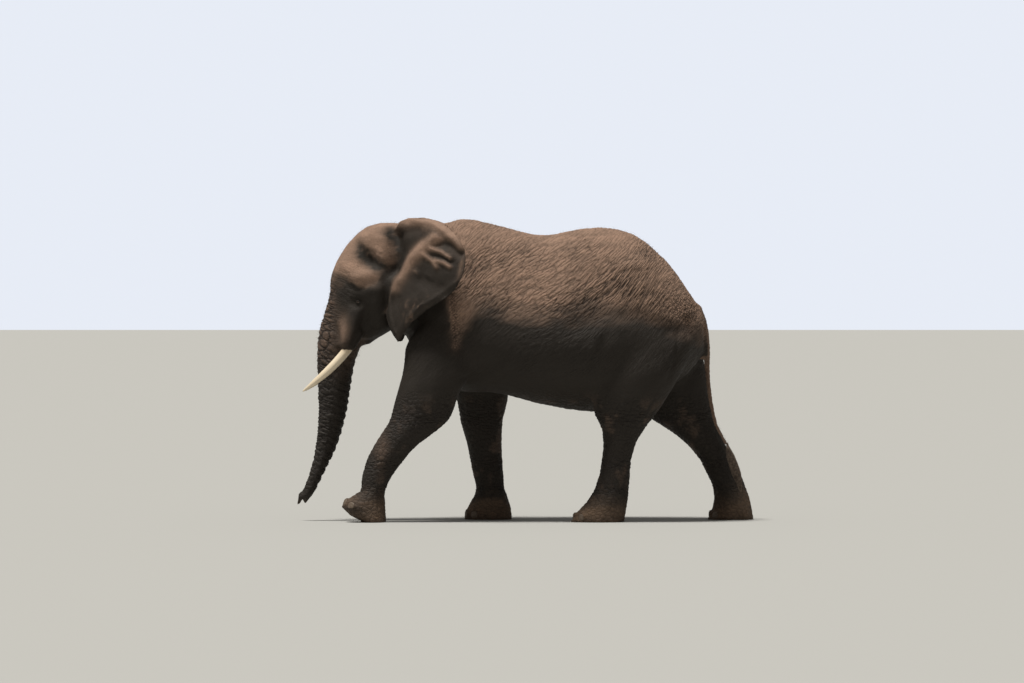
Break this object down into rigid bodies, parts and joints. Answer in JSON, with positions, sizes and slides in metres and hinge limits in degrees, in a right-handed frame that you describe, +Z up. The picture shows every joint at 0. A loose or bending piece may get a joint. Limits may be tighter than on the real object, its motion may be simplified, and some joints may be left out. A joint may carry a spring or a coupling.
{
  "type": "african bush elephant",
  "caption": "Life-size still model of an adult African bush elephant bull in mid-stride, with spread ears, hanging trunk, tusks and a long tufted tail.",
  "frame": {"origin": "on the floor under the middle of the animal's bounding box, level with the soles", "axes": "+Z up, the animal faces -Y, its left side is +X"},
  "size_m": [1.7212, 4.5941, 3.0258],
  "materials": {
    "skin": "dusty brown-grey wrinkled hide, matt",
    "ivory": "cream ivory, lightly stained and worn, soft gloss",
    "nail": "dusty horn, matt",
    "eye": "dark brown, wet gloss",
    "tail_hair": "coarse black-brown hair"
  },
  "bodies": {
    "root": {"ear_left": "skin", "ear_right": "skin", "eye_left": "eye", "eye_right": "eye", "foreleg_left_foot": "skin", "foreleg_left_foot_nail_1": "nail", "foreleg_left_foot_nail_2": "nail", "foreleg_left_foot_nail_3": "nail", "foreleg_left_foot_nail_4": "nail", "foreleg_left_lower": "skin", "foreleg_left_upper": "skin", "foreleg_right_foot": "skin", "foreleg_right_foot_nail_1": "nail", "foreleg_right_foot_nail_2": "nail", "foreleg_right_foot_nail_3": "nail", "foreleg_right_foot_nail_4": "nail", "foreleg_right_lower": "skin", "foreleg_right_upper": "skin", "head": "skin", "hindleg_left_foot": "skin", "hindleg_left_foot_nail_1": "nail", "hindleg_left_foot_nail_2": "nail", "hindleg_left_foot_nail_3": "nail", "hindleg_left_lower": "skin", "hindleg_left_upper": "skin", "hindleg_right_foot": "skin", "hindleg_right_foot_nail_1": "nail", "hindleg_right_foot_nail_2": "nail", "hindleg_right_foot_nail_3": "nail", "hindleg_right_lower": "skin", "hindleg_right_upper": "skin", "lower_jaw": "skin", "neck": "skin", "tail": "skin", "tail_tuft": "tail_hair", "torso": "skin", "trunk_lower": "skin", "trunk_middle": "skin", "trunk_tip": "skin", "trunk_upper": "skin", "tusk_left": "ivory", "tusk_right": "ivory"}
  },
  "joints": []
}
